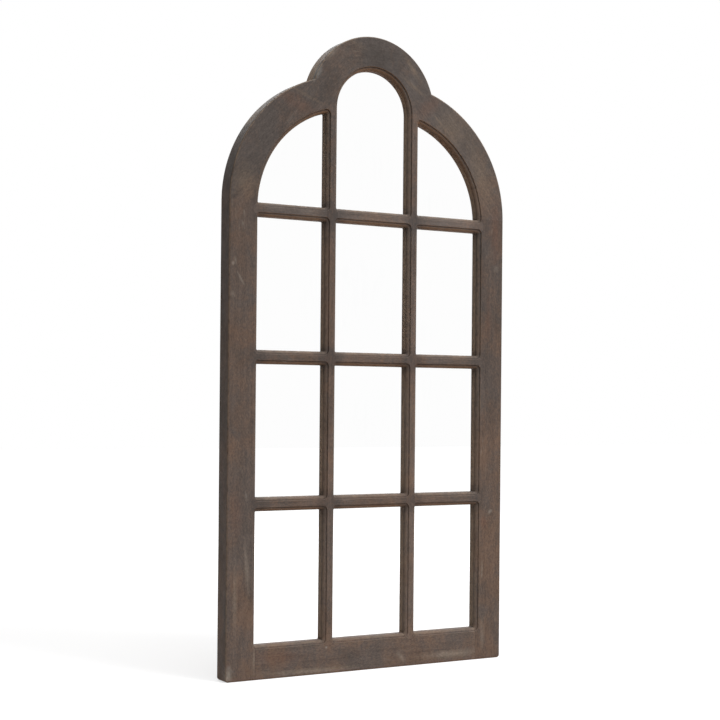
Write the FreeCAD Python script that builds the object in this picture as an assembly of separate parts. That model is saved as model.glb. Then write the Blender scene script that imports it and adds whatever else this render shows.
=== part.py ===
import FreeCAD, Part
import math
import os

# Arched window mirror: a timber frame with a raised crown, twelve moulded
# lights in front of three mirror plates, a screwed back panel, two ring hangers.
#
# X runs across, Y runs from the room (negative) to the wall (positive), Z up.
# The frame is drawn with its lower edge at height 0 and its back at Y = 0.
# At the end everything is lowered so that the origin is the middle of the
# plain band on the back of the bottom rail.  All sizes are millimetres.

# ---- overall -----------------------------------------------------------------
frame_width = 610.0
frame_height = 1219.0
frame_depth = 38.0
stile_width = 60.0            # outer edge to the sight line
rail_height = 64.0
centre_light_width = 158.0
rows = 3                      # rows of square-headed lights below the arch

# ---- arch and crown ------------------------------------------------------------
arch_rise = 334.0             # springing line of the shoulders up to the crown's top
shoulder_radius = 250.0
arch_swell = 6.0              # the arch is this much wider at its head than the stile
arch_sight_drop = 11.0        # the inner arc is struck this far below the outer one
crown_band = 58.0             # side of the crown's light to its outer edge
crown_sight_drop = 7.0
crown_half_angle = 35.0       # joint between crown and arch, from the vertical
crown_bar_rise = 6.0          # the upright bars end this far above the crown's springing
top_bar_drop = 2.0            # top of the upper bar below the springing line

# ---- bars ----------------------------------------------------------------------
upright_width = 24.0
cross_bar_width = 26.0
bar_depth = 14.5              # also the depth of wood in front of the mirror
let_in = 12.0                 # how far a bar's round end is let into the frame
bar_shoulder_radius = 12.0    # rounded outer corner at an upright bar's top

# ---- moulding worked round every light -----------------------------------------
quirk_depth = 2.5
quirk_width = 1.0
ovolo_radius = 6.0
ovolo_ease = 0.32             # middle of the bead, as a share of its radius
arris_radius = 1.0            # worn edge between the face and the quirk
arris_ease = 0.29             # middle of the worn edge, as a share of its radius
router_corner = 2.0           # corner radius of the moulding at the sight line

# ---- outer edges ---------------------------------------------------------------
front_edge_radius = 3.0
back_edge_radius = 1.5
foot_corner_radius = 6.0

# ---- mirror plates and back panel ------------------------------------------------
glass_thickness = 4.0
glass_rebate = 9.0            # rebate wall outside the sight line
glass_play = 1.0              # plate edge to rebate wall
plate_gap = 1.0               # between neighbouring plates, behind the upright bars
panel_thickness = 3.0
panel_rebate = 22.0
panel_play = 1.0

# ---- dowels --------------------------------------------------------------------
dowel_radius = 4.0
dowel_length = 40.0
dowel_clearance = 0.1
dowel_end_play = 1.0
dowel_edge = 11.0             # outer face of the member to the first dowel
dowel_pitch = 18.0
crown_dowel_shares = (0.25, 0.65)   # across the full-depth wood of the crown joint

# ---- screws --------------------------------------------------------------------
panel_screw_radius = 1.5
panel_screw_length = 12.0
panel_head_radius = 3.0
panel_head_height = 1.8
hanger_screw_radius = 1.75
hanger_screw_length = 16.0
hanger_head_radius = 3.3
hanger_head_height = 2.1
pilot_clearance = 0.05
through_clearance = 0.3
head_dome = 0.6               # rounding of a head, as a share of its height
drive_reach = 0.6             # cross recess, as a share of the head's radius
drive_width = 0.8
drive_depth = 0.9
screw_tip_radius = 0.2
screw_taper = 2.0             # length of the point, in shank radii
rail_screw_spread = 2 / 3     # outer screws in the rail, as a share of the sight width
arch_screw_turns = (25.0, 60.0)
crown_screw_turns = (30.0, 90.0, 150.0)

# ---- ring hangers ----------------------------------------------------------------
hanger_drop = 47.0            # ring pivot below the springing line
strap_width = 16.0
strap_length = 46.0
strap_thickness = 1.2
strap_corner = 4.0
strap_first_hole = 25.5       # pivot to the first screw
strap_hole_pitch = 14.0
wire_radius = 1.5
pivot_clearance = 0.08
ring_clearance = 0.4          # folded ring above the strap
ring_half_width = 12.0        # to the middle of the wire
ring_straight = 6.0
ring_corner = 2.5
curl_gap = 0.5                # open seam of the rolled knuckle

# ---- bumpers -------------------------------------------------------------------
bumper_base_radius = 10.0
bumper_face_radius = 8.0
bumper_height = 6.5
bumper_z = 22.0

# ---- places that follow from the sizes -------------------------------------------
overcut = 1.0
front = -frame_depth
lip_back = front + bar_depth
ledge = lip_back + glass_thickness
panel_back = ledge + panel_thickness
dowel_y = front + frame_depth / 2

side = frame_width / 2
sight_x = side - stile_width
light_x = centre_light_width / 2
bar_x = light_x + upright_width / 2
bar_outer_x = light_x + upright_width

springing_z = frame_height - arch_rise
shoulder_x = side - shoulder_radius
arch_sight_radius = shoulder_radius - stile_width + arch_swell
arch_sight_x = sight_x - arch_sight_radius
arch_sight_z = springing_z - arch_sight_drop
crown_radius = light_x + crown_band
crown_z = frame_height - crown_radius
crown_sight_z = crown_z - crown_sight_drop
bar_top_z = crown_sight_z + crown_bar_rise

arch_light_z = springing_z - top_bar_drop
row_pitch = (arch_light_z - rail_height) / rows
light_height = row_pitch - cross_bar_width

moulding_width = quirk_width + ovolo_radius
moulding_depth = quirk_depth + ovolo_radius
mount_z = (rail_height - panel_rebate) / 2

hanger_x = sight_x + (panel_rebate + stile_width) / 2
hanger_z = springing_z - hanger_drop
knuckle_bore = wire_radius + pivot_clearance
knuckle_radius = knuckle_bore + strap_thickness
pivot_y = strap_thickness + ring_clearance + wire_radius
screw_line = (glass_rebate + panel_rebate) / 2


# ---- drawing helpers ---------------------------------------------------------------
def spot(x, z, y=0.0):
    return FreeCAD.Vector(x, y, z)


def on_circle(x, z, radius, degrees, y=0.0):
    turn = math.radians(degrees)
    return spot(x + radius * math.cos(turn), z + radius * math.sin(turn), y)


def outline(arcs, grow=0.0, y=0.0):
    """Closed wire of arcs (x, z, radius, start, end) joined by straight lines.

    It starts halfway between the last arc and the first.  Growing it adds the
    same amount to each radius.  An arc without radius is a plain corner.
    """
    runs = []
    for x, z, radius, start, end in arcs:
        size = radius + grow
        ends = [on_circle(x, z, size, turn, y) for turn in (start, (start + end) / 2, end)]
        runs.append(ends)
    first = (runs[-1][2] + runs[0][0]) / 2
    edges = []
    here = first
    for begin, middle, finish in runs:
        if here.distanceToPoint(begin) > 1e-6:
            edges.append(Part.LineSegment(here, begin).toShape())
        if begin.distanceToPoint(finish) > 1e-6:
            edges.append(Part.Arc(begin, middle, finish).toShape())
        here = finish
    edges.append(Part.LineSegment(here, first).toShape())
    return Part.Wire(edges)


def prism(arcs, near, far, grow=0.0):
    """The outline filled and drawn out from Y = near to Y = far."""
    face = Part.Face(outline(arcs, grow, near))
    return face.extrude(FreeCAD.Vector(0, far - near, 0))


def block(x0, x1, y0, y1, z0, z1):
    return Part.makeBox(x1 - x0, y1 - y0, z1 - z0, FreeCAD.Vector(x0, y0, z0))


def rod(base, direction, radius, length):
    return Part.makeCylinder(radius, length, base, direction)


def corner(x, z, radius, start):
    """A rounded corner that turns a quarter, given by its arc's middle."""
    return (x, z, radius, start, start + 90.0)


def mirrored(shape):
    return shape.mirror(FreeCAD.Vector(0, 0, 0), FreeCAD.Vector(1, 0, 0))


# ---- the lights ----------------------------------------------------------------------
def square_light(x0, x1, z0, z1, round_by):
    return [
        corner(x1 - round_by, z0 + round_by, round_by, -90.0),
        corner(x1 - round_by, z1 - round_by, round_by, 0.0),
        corner(x0 + round_by, z1 - round_by, round_by, 90.0),
        corner(x0 + round_by, z0 + round_by, round_by, 180.0),
    ]


def crown_light(round_by):
    return [
        corner(light_x - round_by, arch_light_z + round_by, round_by, -90.0),
        (0.0, crown_sight_z, light_x, 0.0, 180.0),
        corner(round_by - light_x, arch_light_z + round_by, round_by, 180.0),
    ]


def arch_light(round_by):
    """The right-hand light under the arch: one big arc and three corners."""
    reach = arch_sight_radius - round_by
    low_z = arch_light_z + round_by
    low_x = arch_sight_x + math.sqrt(reach ** 2 - (low_z - arch_sight_z) ** 2)
    high_x = bar_outer_x + round_by
    high_z = arch_sight_z + math.sqrt(reach ** 2 - (high_x - arch_sight_x) ** 2)
    low_turn = math.degrees(math.atan2(low_z - arch_sight_z, low_x - arch_sight_x))
    high_turn = math.degrees(math.atan2(high_z - arch_sight_z, high_x - arch_sight_x))
    return [
        (low_x, low_z, round_by, -90.0, low_turn),
        (arch_sight_x, arch_sight_z, arch_sight_radius, low_turn, high_turn),
        (high_x, high_z, round_by, high_turn, 180.0),
        corner(high_x, low_z, round_by, 180.0),
    ]


def light_cutter(shape_of):
    """Everything cut away for one light, from the room side to the mirror."""
    opening = prism(shape_of(0.0), front - overcut, lip_back)
    path = outline(shape_of(router_corner), 0.0, front)
    start = path.Edges[0].firstVertex().Point
    inner = router_corner - quirk_width

    def profile_point(outward, depth):
        return FreeCAD.Vector(start.x, front + depth, start.z - outward)

    ovolo_middle = ovolo_ease * ovolo_radius
    arris_middle = arris_ease * arris_radius
    inner_top = profile_point(-inner, -overcut)
    inner_foot = profile_point(-inner, moulding_depth)
    bead_foot = profile_point(0.0, moulding_depth)
    bead_middle = profile_point(ovolo_middle, quirk_depth + ovolo_middle)
    bead_top = profile_point(ovolo_radius, quirk_depth)
    quirk_corner = profile_point(moulding_width, quirk_depth)
    arris_foot = profile_point(moulding_width, arris_radius)
    arris_bend = profile_point(moulding_width + arris_middle, arris_middle)
    arris_top = profile_point(moulding_width + arris_radius, 0.0)
    outer_top = profile_point(moulding_width + arris_radius, -overcut)
    profile = Part.Wire([
        Part.LineSegment(inner_top, inner_foot).toShape(),
        Part.LineSegment(inner_foot, bead_foot).toShape(),
        Part.Arc(bead_foot, bead_middle, bead_top).toShape(),
        Part.LineSegment(bead_top, quirk_corner).toShape(),
        Part.LineSegment(quirk_corner, arris_foot).toShape(),
        Part.Arc(arris_foot, arris_bend, arris_top).toShape(),
        Part.LineSegment(arris_top, outer_top).toShape(),
        Part.LineSegment(outer_top, inner_top).toShape(),
    ])
    moulding = path.makePipeShell([profile], True, False)
    return opening.fuse(moulding)


def all_light_cutters():
    cutters = []
    columns = [(-sight_x, -bar_outer_x), (-light_x, light_x), (bar_outer_x, sight_x)]
    for row in range(rows):
        low = rail_height + row * row_pitch
        for left, right in columns:
            bounds = (left, right, low, low + light_height)
            cutters.append(light_cutter(lambda round_by: square_light(*bounds, round_by)))
    cutters.append(light_cutter(crown_light))
    right_arch_light = light_cutter(arch_light)
    cutters.append(right_arch_light)
    cutters.append(mirrored(right_arch_light))
    return cutters


# ---- outlines of the whole opening ------------------------------------------------------
def opening_outline(margin):
    """Outline of all the lights together, widened by a margin."""
    x = sight_x + margin
    arch = arch_sight_radius + margin
    crown = light_x + margin
    low = rail_height - margin
    meet_x = crown
    meet_z = arch_sight_z + math.sqrt(arch ** 2 - (crown - arch_sight_x) ** 2)
    crown_turn = 0.0
    if meet_z > crown_sight_z:
        rise = crown_sight_z - arch_sight_z
        span = math.hypot(arch_sight_x, rise)
        along = (arch ** 2 - crown ** 2 + span ** 2) / (2 * span)
        across = math.sqrt(arch ** 2 - along ** 2)
        meet_x = arch_sight_x - along * arch_sight_x / span + across * rise / span
        meet_z = arch_sight_z + along * rise / span + across * arch_sight_x / span
        crown_turn = math.degrees(math.atan2(meet_z - crown_sight_z, meet_x))
    arch_turn = math.degrees(math.atan2(meet_z - arch_sight_z, meet_x - arch_sight_x))
    return [
        (x, low, 0.0, 0.0, 0.0),
        (arch_sight_x, arch_sight_z, arch, 0.0, arch_turn),
        (0.0, crown_sight_z, crown, crown_turn, 180.0 - crown_turn),
        (-arch_sight_x, arch_sight_z, arch, 180.0 - arch_turn, 180.0),
        (-x, low, 0.0, 0.0, 0.0),
    ]


def eased(solid):
    """Round the long edges on the room side and on the wall side."""
    room_edges = []
    wall_edges = []
    for edge in solid.Edges:
        box = edge.BoundBox
        if box.YLength > 1e-6:
            continue
        if abs(box.YMin - front) < 1e-6:
            room_edges.append(edge)
        else:
            wall_edges.append(edge)
    solid = solid.makeFillet(front_edge_radius, room_edges)
    wall_edges = [
        edge for edge in solid.Edges
        if edge.BoundBox.YLength < 1e-6 and abs(edge.BoundBox.YMin) < 1e-6
    ]
    return solid.makeFillet(back_edge_radius, wall_edges)


def frame_envelope():
    """The outside of the frame: a round-shouldered slab and the crown's disc."""
    slab = prism([
        corner(side - foot_corner_radius, foot_corner_radius, foot_corner_radius, -90.0),
        corner(shoulder_x, springing_z, shoulder_radius, 0.0),
        corner(-shoulder_x, springing_z, shoulder_radius, 90.0),
        corner(foot_corner_radius - side, foot_corner_radius, foot_corner_radius, 180.0),
    ], front, 0.0)
    disc = rod(spot(0.0, crown_z, front), FreeCAD.Vector(0, 1, 0), crown_radius, frame_depth)
    return eased(slab).fuse(eased(disc))


# ---- bars ----------------------------------------------------------------------------------
def upright_blank():
    """Right-hand upright bar before moulding: round foot, one round shoulder."""
    half = upright_width / 2
    foot_z = rail_height - let_in + half
    return prism([
        (bar_x, foot_z, half, 180.0, 360.0),
        corner(
            bar_outer_x - bar_shoulder_radius,
            bar_top_z - bar_shoulder_radius,
            bar_shoulder_radius,
            0.0,
        ),
        (light_x, bar_top_z, 0.0, 0.0, 0.0),
    ], front, lip_back)


def cross_bar_z(row):
    return rail_height + (row + 1) * row_pitch - cross_bar_width / 2


def cross_blank(row):
    """Cross bar before moulding, with a round end let into each stile."""
    half = cross_bar_width / 2
    end_x = sight_x + let_in - half
    z = cross_bar_z(row)
    return prism([
        (end_x, z, half, -90.0, 90.0),
        (-end_x, z, half, 90.0, 270.0),
    ], front, lip_back)


# ---- dowels and screws -----------------------------------------------------------------------
def dowel_places():
    """Middle and direction of every dowel."""
    places = []
    across = FreeCAD.Vector(1, 0, 0)
    upward = FreeCAD.Vector(0, 0, 1)
    for step in range(2):
        inset = dowel_edge + step * dowel_pitch
        for sign in (-1, 1):
            places.append((spot(sign * sight_x, inset, dowel_y), across))
            places.append((spot(sign * (side - inset), springing_z, dowel_y), upward))
    tilt = math.radians(crown_half_angle)
    outer = crown_radius + crown_sight_drop * math.cos(tilt)
    inner = light_x + panel_rebate
    for share in crown_dowel_shares:
        radius = inner + share * (outer - inner)
        for sign in (-1, 1):
            middle = spot(
                sign * radius * math.sin(tilt),
                crown_sight_z + radius * math.cos(tilt),
                dowel_y,
            )
            along = FreeCAD.Vector(math.cos(tilt), 0, -sign * math.sin(tilt))
            places.append((middle, along))
    return places


def centred_rod(middle, along, radius, length):
    return rod(middle - along * (length / 2), along, radius, length)


def dowels():
    return [centred_rod(middle, along, dowel_radius, dowel_length)
            for middle, along in dowel_places()]


def dowel_holes():
    length = dowel_length + 2 * dowel_end_play
    radius = dowel_radius + dowel_clearance
    return [centred_rod(middle, along, radius, length) for middle, along in dowel_places()]


def screw(x, z, seat, shank_radius, length, head_radius, head_height):
    """Domed screw driven towards the room from its seat at Y = seat."""
    inward = FreeCAD.Vector(0, -1, 0)
    outward = FreeCAD.Vector(0, 1, 0)
    point = shank_radius * screw_taper
    head = rod(spot(x, z, seat), outward, head_radius, head_height)
    rim = [edge for edge in head.Edges if edge.BoundBox.YMin > seat + head_height / 2]
    head = head.makeFillet(head_height * head_dome, rim)
    shank = rod(spot(x, z, seat), inward, shank_radius, length - point)
    shank_end = spot(x, z, seat - length + point)
    tip = Part.makeCone(shank_radius, screw_tip_radius, point, shank_end, inward)
    body = head.multiFuse([shank, tip])
    reach = head_radius * drive_reach
    half = drive_width / 2
    low = seat + head_height - drive_depth
    high = seat + head_height + overcut
    level = block(x - reach, x + reach, low, high, z - half, z + half)
    upright = block(x - half, x + half, low, high, z - reach, z + reach)
    return body.cut(level.fuse(upright))


def panel_screw_places():
    """Points on the ledge round the panel, halfway between its two walls."""
    places = []
    for share in (-1, 0, 1):
        places.append((share * sight_x * rail_screw_spread, rail_height - screw_line))
    for row in range(rows):
        z = rail_height + row * row_pitch + light_height / 2
        for sign in (-1, 1):
            places.append((sign * (sight_x + screw_line), z))
    for turn in arch_screw_turns:
        radius = arch_sight_radius + screw_line
        point = on_circle(arch_sight_x, arch_sight_z, radius, turn)
        places.append((point.x, point.z))
        places.append((-point.x, point.z))
    for turn in crown_screw_turns:
        point = on_circle(0.0, crown_sight_z, light_x + screw_line, turn)
        places.append((point.x, point.z))
    return places


def panel_screws():
    return [
        screw(x, z, panel_back, panel_screw_radius, panel_screw_length,
              panel_head_radius, panel_head_height)
        for x, z in panel_screw_places()
    ]


def hanger_screw_places():
    places = []
    for step in range(2):
        z = hanger_z - strap_first_hole - step * strap_hole_pitch
        for sign in (-1, 1):
            places.append((sign * hanger_x, z))
    return places


def hanger_screws():
    return [
        screw(x, z, strap_thickness, hanger_screw_radius, hanger_screw_length,
              hanger_head_radius, hanger_head_height)
        for x, z in hanger_screw_places()
    ]


def pilot_holes():
    """Holes in the timber for both kinds of screw."""
    inward = FreeCAD.Vector(0, -1, 0)
    holes = []
    for x, z in panel_screw_places():
        radius = panel_screw_radius + pilot_clearance
        depth = panel_screw_length + pilot_clearance
        holes.append(rod(spot(x, z, panel_back), inward, radius, depth))
    for x, z in hanger_screw_places():
        radius = hanger_screw_radius + pilot_clearance
        depth = hanger_screw_length + pilot_clearance
        holes.append(rod(spot(x, z, strap_thickness), inward, radius, depth))
    return holes


# ---- timber ------------------------------------------------------------------------------------
def build_timber():
    """Frame members and bars, all moulded by the same cutters."""
    lights = all_light_cutters()
    upright = upright_blank()
    uprights = [mirrored(upright), upright]
    crosses = [cross_blank(row) for row in range(rows)]
    rebates = [
        prism(opening_outline(glass_rebate), lip_back, overcut),
        prism(opening_outline(panel_rebate), ledge, overcut),
    ]
    envelope = frame_envelope()
    frame_cuts = lights + uprights + crosses + rebates + dowel_holes() + pilot_holes()

    wide = frame_width
    tall = frame_height
    y0 = front - overcut
    y1 = overcut
    tilt = math.radians(crown_half_angle)
    joint_foot = spot(0.0, crown_sight_z, y0)
    right_joint = spot(tall * math.sin(tilt), crown_sight_z + tall * math.cos(tilt), y0)
    left_joint = spot(-right_joint.x, right_joint.z, y0)

    def wedge(points):
        face = Part.Face(Part.makePolygon(points + [points[0]]))
        return face.extrude(FreeCAD.Vector(0, y1 - y0, 0))

    right_arch_room = wedge([
        joint_foot,
        right_joint,
        spot(tall, right_joint.z, y0),
        spot(tall, springing_z, y0),
        spot(0.0, springing_z, y0),
    ])
    rooms = {
        "bottom_rail": block(-sight_x, sight_x, y0, y1, -overcut, rail_height),
        "left_stile": block(-wide, -sight_x, y0, y1, -overcut, springing_z),
        "right_stile": block(sight_x, wide, y0, y1, -overcut, springing_z),
        "left_arch_segment": mirrored(right_arch_room),
        "right_arch_segment": right_arch_room,
        "crown_arch": wedge([joint_foot, left_joint, right_joint]),
    }
    pieces = {}
    for name, room in rooms.items():
        pieces[name] = envelope.common(room).cut(frame_cuts)

    # The bars cross in half laps: the uprights run through on the room side.
    lap = front + bar_depth / 2
    for name, blank in zip(("left_muntin", "right_muntin"), uprights):
        laps = []
        half = cross_bar_width / 2
        for row in range(rows):
            z = cross_bar_z(row)
            laps.append(block(-wide, wide, lap, lip_back, z - half, z + half))
        pieces[name] = blank.cut(laps + lights)
    lap_blocks = [
        block(light_x, bar_outer_x, front, lap, 0.0, tall),
        block(-bar_outer_x, -light_x, front, lap, 0.0, tall),
    ]
    for name, blank in zip(("lower_bar", "middle_bar", "upper_bar"), crosses):
        pieces[name] = blank.cut(lap_blocks + lights)
    return pieces


# ---- mirror plates and panel ---------------------------------------------------------------------
def mirror_plates():
    """Three plates side by side, meeting behind the upright bars."""
    whole = prism(opening_outline(glass_rebate - glass_play), lip_back, ledge)
    seam = bar_x
    half_gap = plate_gap / 2
    bounds = {
        "left_mirror": (-frame_width, -seam - half_gap),
        "centre_mirror": (-seam + half_gap, seam - half_gap),
        "right_mirror": (seam + half_gap, frame_width),
    }
    return {
        name: whole.common(block(x0, x1, lip_back, ledge, 0.0, frame_height))
        for name, (x0, x1) in bounds.items()
    }


def back_panel():
    panel = prism(opening_outline(panel_rebate - panel_play), ledge, panel_back)
    radius = panel_screw_radius + through_clearance
    outward = FreeCAD.Vector(0, 1, 0)
    holes = [
        rod(spot(x, z, ledge), outward, radius, panel_thickness)
        for x, z in panel_screw_places()
    ]
    return panel.cut(holes)


# ---- hangers -----------------------------------------------------------------------------------
def strap(x):
    """Screwed strap whose upper end is rolled round the ring's bar."""
    half = strap_width / 2
    low = hanger_z - strap_length
    plate = prism([
        corner(x + half - strap_corner, low + strap_corner, strap_corner, -90.0),
        (x + half, hanger_z, 0.0, 0.0, 0.0),
        (x - half, hanger_z, 0.0, 0.0, 0.0),
        corner(x - half + strap_corner, low + strap_corner, strap_corner, 180.0),
    ], 0.0, strap_thickness)
    across = FreeCAD.Vector(1, 0, 0)
    axis_start = spot(x - half, hanger_z, pivot_y)
    knuckle = rod(axis_start, across, knuckle_radius, strap_width)
    bore = rod(axis_start, across, knuckle_bore, strap_width)
    seam_top = strap_thickness + curl_gap
    seam = block(
        x - half, x + half,
        strap_thickness, seam_top,
        hanger_z - knuckle_radius - overcut, hanger_z - knuckle_bore / 2,
    )
    web = block(
        x - half, x + half,
        0.0, strap_thickness,
        hanger_z - overcut, hanger_z + knuckle_bore / 2,
    )
    outward = FreeCAD.Vector(0, 1, 0)
    hole_radius = hanger_screw_radius + through_clearance
    holes = [
        rod(spot(x, z), outward, hole_radius, strap_thickness)
        for place_x, z in hanger_screw_places() if place_x == x
    ]
    return plate.multiFuse([knuckle, web]).cut([bore, seam] + holes)


def ring(x):
    """D-shaped wire ring, hanging down from its straight bar."""
    inner = ring_half_width - ring_corner
    low = hanger_z - ring_straight
    path = outline([
        corner(x - inner, hanger_z - ring_corner, ring_corner, 90.0),
        (x, low, ring_half_width, 180.0, 360.0),
        corner(x + inner, hanger_z - ring_corner, ring_corner, 0.0),
    ], 0.0, pivot_y)
    start = path.Edges[0].firstVertex().Point
    section = Part.Wire(Part.makeCircle(wire_radius, start, FreeCAD.Vector(1, 0, 0)))
    return path.makePipeShell([section], True, False)


def bumpers():
    outward = FreeCAD.Vector(0, 1, 0)
    made = []
    for sign in (-1, 1):
        cone = Part.makeCone(
            bumper_base_radius, bumper_face_radius, bumper_height,
            spot(sign * hanger_x, bumper_z), outward,
        )
        made.append(cone)
    return made


# ---- writing the pieces --------------------------------------------------------------------------
def write(name, shape):
    """Lower a piece so that the origin is on the rail's back, and save it."""
    placed = shape.copy()
    placed.translate(FreeCAD.Vector(0, 0, -mount_z))
    placed.exportStep("parts/" + name + ".step")
    print(name, len(placed.Solids), "solid(s)", round(placed.Volume), "cubic mm")


def main():
    os.makedirs("parts", exist_ok=True)
    pieces = build_timber()
    pieces.update(mirror_plates())
    pieces["backing_panel"] = back_panel()
    pieces["frame_dowels"] = Part.makeCompound(dowels())
    pieces["panel_screws"] = Part.makeCompound(panel_screws())
    pieces["hanger_screws"] = Part.makeCompound(hanger_screws())
    pieces["wall_bumpers"] = Part.makeCompound(bumpers())
    for name, x in (("left", -hanger_x), ("right", hanger_x)):
        pieces[name + "_hanger_strap"] = strap(x)
        pieces[name + "_ring"] = ring(x)
    for name, shape in pieces.items():
        write(name, shape)


main()
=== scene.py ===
import math
from collections import namedtuple

import bpy
from bpy.props import FloatProperty, FloatVectorProperty, PointerProperty
from mathutils import Euler, Matrix, Vector


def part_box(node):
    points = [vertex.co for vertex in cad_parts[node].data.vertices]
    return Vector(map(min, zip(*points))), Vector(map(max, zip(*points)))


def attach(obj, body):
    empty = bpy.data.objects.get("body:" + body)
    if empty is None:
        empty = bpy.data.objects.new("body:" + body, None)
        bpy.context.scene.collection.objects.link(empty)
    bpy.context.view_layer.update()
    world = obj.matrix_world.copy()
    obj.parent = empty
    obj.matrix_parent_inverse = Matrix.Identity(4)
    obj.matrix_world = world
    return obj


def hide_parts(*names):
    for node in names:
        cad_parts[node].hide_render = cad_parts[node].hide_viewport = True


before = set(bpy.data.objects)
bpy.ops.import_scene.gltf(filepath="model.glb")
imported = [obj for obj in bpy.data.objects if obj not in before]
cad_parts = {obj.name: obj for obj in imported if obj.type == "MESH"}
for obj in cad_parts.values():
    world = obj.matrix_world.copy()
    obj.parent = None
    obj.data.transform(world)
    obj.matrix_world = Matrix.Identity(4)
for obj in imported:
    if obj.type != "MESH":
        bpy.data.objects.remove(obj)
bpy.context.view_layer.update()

bl_info = {
    "name": "Arched window mirror finishes",
    "version": (1, 0, 0),
    "blender": (4, 5, 0),
    "location": "View3D > Sidebar > Arched mirror",
    "description": "Stained timber, mirror plates, backing and hangers of an arched window mirror",
    "category": "Object",
}

# ---- places read from the frame, in metres ----
BODY = "frame"
SIDES = ("left", "right")
CROSS_BARS = ("lower_bar", "middle_bar", "upper_bar")
FRONT_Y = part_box("left_stile")[0].y
FLOOR_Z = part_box("bottom_rail")[0].z
RAIL_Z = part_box("bottom_rail")[1].z
TOP_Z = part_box("crown_arch")[1].z
SPRINGING_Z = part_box("left_stile")[1].z
SIGHT_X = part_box("right_stile")[0].x

# ---- measures of the shapes, the finish and the stage ----
# The turn of the grain from upright, in each kind of member.
UPRIGHT, LEVEL, SHOULDER = 0.0, math.pi / 2, math.radians(42)

# Depths behind the front face at which the bead begins and ends and the wall by the glass
# begins; and how far outside the sight line the inner surfaces end.
BEAD_START = (0.0015, 0.0030)
BEAD_END = (0.0070, 0.0095)
GLASS_WALL = (0.0085, 0.0110)
INNER_MARGIN = (0.008, 0.020)

# How far the painted corner shade reaches from the middle of an upright, a sight line and a cross
# bar.
UPRIGHT_SHADE_REACH, SIGHT_SHADE_REACH, BAR_SHADE_REACH = 0.036, 0.028, 0.034

# Heights above the floor where the warm stain starts to fade and where all fading ends, and the
# drop from the crown's top over which dusting and painted top light are full.
WARM_HEIGHT, HEAD_HEIGHT, DUST_AND_LIGHT_DROP = 0.55, 1.15, 0.20

# Widths of the hairlines where members meet, and how far a round one runs past its end.
JOINT_WIDTH, TOP_JOINT_WIDTH, JOINT_OVERRUN = 0.0009, 0.0022, 1.1

# Edges that are smoothed, edges that are rounded, and faces that count as one flat face.
SMOOTH_BELOW, ROUND_ABOVE, FLAT_WITHIN = (math.radians(value) for value in (35, 40, 0.5))
WELD_WITHIN = 1e-6
BUFFER_SIDES = 64
BUFFER_ROUND_ABOVE = math.radians(25)

# Patterns of noise: how far each repeats across and along, in metres, and its character.
Pattern = namedtuple("Pattern", "across along detail roughness distortion", defaults=(0.5, 0.0))
PATTERNS = {
    "fibre": (0.0011, 0.034, 3.0, 0.6),
    "speckle": (0.0032, 0.0054, 3.0, 0.75),
    "streak": (0.0065, 0.13, 3.0, 0.55, 0.3),
    "swirl": (0.035, 0.42, 2.0, 0.5, 0.4),
    "dashes": (0.0007, 0.0075, 2.0, 0.6),
    "flecks": (0.0010, 0.0050, 3.0, 0.7),
    "broad cloud": (0.085, 0.11, 6.0, 0.68, 0.5),
    "fine cloud": (0.015, 0.020, 5.0, 0.72, 0.3),
    "deep cloud": (0.08, 0.11, 6.0, 0.68, 0.3),
    "wander": (0.006, 0.007, 6.0, 0.75),
    "wear": (0.012, 0.012, 4.0, 0.65),
    "rub patch": (0.05, 0.09, 2.0),
    "rub lines": (0.004, 0.022, 4.0, 0.6, 0.5),
    "grit": (0.006, 0.006, 5.0, 0.7),
    "glass haze": (0.16, 0.20, 4.0, 0.6),
    "glass smear": (0.012, 0.06, 4.0, 0.7, 0.6),
    "board fibres": (0.0022, 0.0022, 5.0, 0.7, 1.2),
    "board mottle": (0.06, 0.08, 3.0, 0.6),
    "board flecks": (0.0016, 0.0045, 2.0),
    "crystals": (0.0024, 0.0024, 3.0, 0.6),
    "tarnish": (0.011, 0.014, 4.0, 0.65),
    "hairs": (0.0002, 0.006, 2.0),
    "rubber skin": (0.0006, 0.0006, 4.0, 0.6),
    "rubber bloom": (0.007, 0.007, 3.0),
}
NICK_CELL = (0.07, 0.09)
RING_WAVES = 42.0
FLECK_SEED_STEP, DEEP_SEED_STEP = 31.0, 50.0

# Depth of the relief of the hardboard, the beech, the rubber and the two platings.
BOARD_RELIEF, BEECH_RELIEF, RUBBER_RELIEF = 0.00025, 0.00008, 0.00008
SMOOTH_RELIEF, BRUSHED_RELIEF = 0.00002, 0.00004

# The softboxes; `power` names the setting that holds their watts.
Softbox = namedtuple("Softbox", "name place target width power")
SOFTBOXES = (
    Softbox("key_softbox", (1.3, -2.2, 2.6), (0.0, 0.0, 0.5), 1.8, "key_power"),
    Softbox("top_softbox", (-0.3, -0.6, 4.0), (0.0, 0.0, 0.6), 2.0, "top_power"),
    Softbox("back_softbox", (0.9, 2.8, 2.2), (0.0, 0.0, 0.6), 2.0, "back_power"),
)
# Distances from the object between which the floor's added white grows.
LIFT_START, LIFT_END = 0.8, 2.8
SENSOR_WIDTH = 36.0  # millimetres
MM_PER_M = 1000

# One uneven patch on the face of the timber: where its middle is, how far it reaches
# across and up, its lean in degrees, its stain and its strength.
Mark = namedtuple("Mark", "x z wide high lean stain strength")


def marks(level, *rows):
    """Marks whose heights are counted from a level."""
    return tuple(Mark(x, level + z, *rest) for x, z, *rest in rows)


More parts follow.
